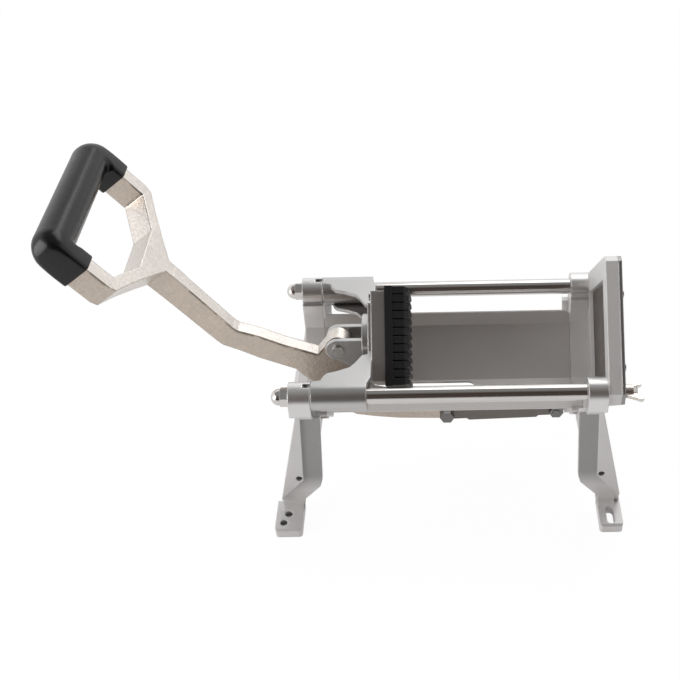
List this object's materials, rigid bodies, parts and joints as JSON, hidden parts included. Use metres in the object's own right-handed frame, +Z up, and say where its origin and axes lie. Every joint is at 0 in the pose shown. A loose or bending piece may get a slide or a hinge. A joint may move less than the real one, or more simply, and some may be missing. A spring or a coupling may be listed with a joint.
{
  "type": "french fry cutter",
  "caption": "Bench lever cutter for potato sticks: a sliding head on guide rods pushes the potato through crossed blades over a trough tray, moved by a long D-handled lever.",
  "frame": {"origin": "on the table, midway between the inner screw holes of the two rear feet", "axes": "+X along the guide rods from the lever end to the blades, +Y across to the back as seen in the picture, +Z up"},
  "size_m": [0.5314, 0.239, 0.3419],
  "materials": {
    "frames": "satin cast aluminium, softly blasted, with polished ridges",
    "tray": "brushed sheet",
    "bright": "polished stainless, bright",
    "zinc": "bright zinc plated steel",
    "dark_screw": "blackened steel",
    "head": "satin cast aluminium",
    "bronze": "sintered bronze, oiled",
    "block": "black moulded plastic, satin",
    "lever": "cast, nickel plated, warm satin with a fine cast grain",
    "grip": "black vinyl dip coating, semi-gloss",
    "link": "dark oxide steel, dull",
    "blades": "ground stainless blades, sharpened edge",
    "wing": "nickel plated, slightly brassy"
  },
  "bodies": {
    "base": {"rear_frame": "frames", "front_frame": "frames", "v_tray": "tray", "tray_screws": "zinc", "guide_rod_front": "bright", "guide_rod_back": "bright", "acorn_nuts": "bright", "set_screws": "dark_screw", "anchor_bolt": "zinc", "anchor_nut": "zinc", "blade_holder": "frames", "blade_retainer": "frames", "blades_rear": "blades", "blades_front": "blades", "retainer_screws": "zinc"},
    "head": {"slide_head": "head", "head_bushes": "bronze", "push_block": "block", "push_screws": "zinc", "pivot_pin": "zinc", "pivot_clip": "dark_screw"},
    "lever": {"lever_arm": "lever", "lever_bush": "bronze", "handle_grip": "grip"},
    "links": {"link_bar_front": "link", "link_bar_back": "link", "link_bolts": "zinc"},
    "nut_front": {"wing_nut_front": "wing"},
    "nut_back": {"wing_nut_back": "wing"}
  },
  "joints": [
    {"name": "head_slide", "type": "slide", "parent": "base", "child": "head", "axis": [1, 0, 0], "range_m": [0, 0.1888]},
    {"name": "lever_pivot", "type": "hinge", "parent": "head", "child": "lever", "pos_m": [0.0552, 0, 0.154], "axis": [0, 1, 0], "range_deg": [0, 84]},
    {"name": "link_pivot", "type": "hinge", "parent": "base", "child": "links", "pos_m": [0.274, 0, 0.0675], "axis": [0, 1, 0], "range_deg": [-12.9, 0]},
    {"name": "nut_front_spin", "type": "hinge", "parent": "base", "child": "nut_front", "pos_m": [0.33, -0.08015, 0.156], "axis": [1, 0, 0], "continuous": true},
    {"name": "nut_back_spin", "type": "hinge", "parent": "base", "child": "nut_back", "pos_m": [0.33, 0.08015, 0.156], "axis": [1, 0, 0], "continuous": true}
  ],
  "couplings": [
    {"joint": "lever_pivot", "follows": "head_slide", "rad_per_m": 7.762},
    {"joint": "link_pivot", "follows": "head_slide", "rad_per_m": -1.1886}
  ]
}
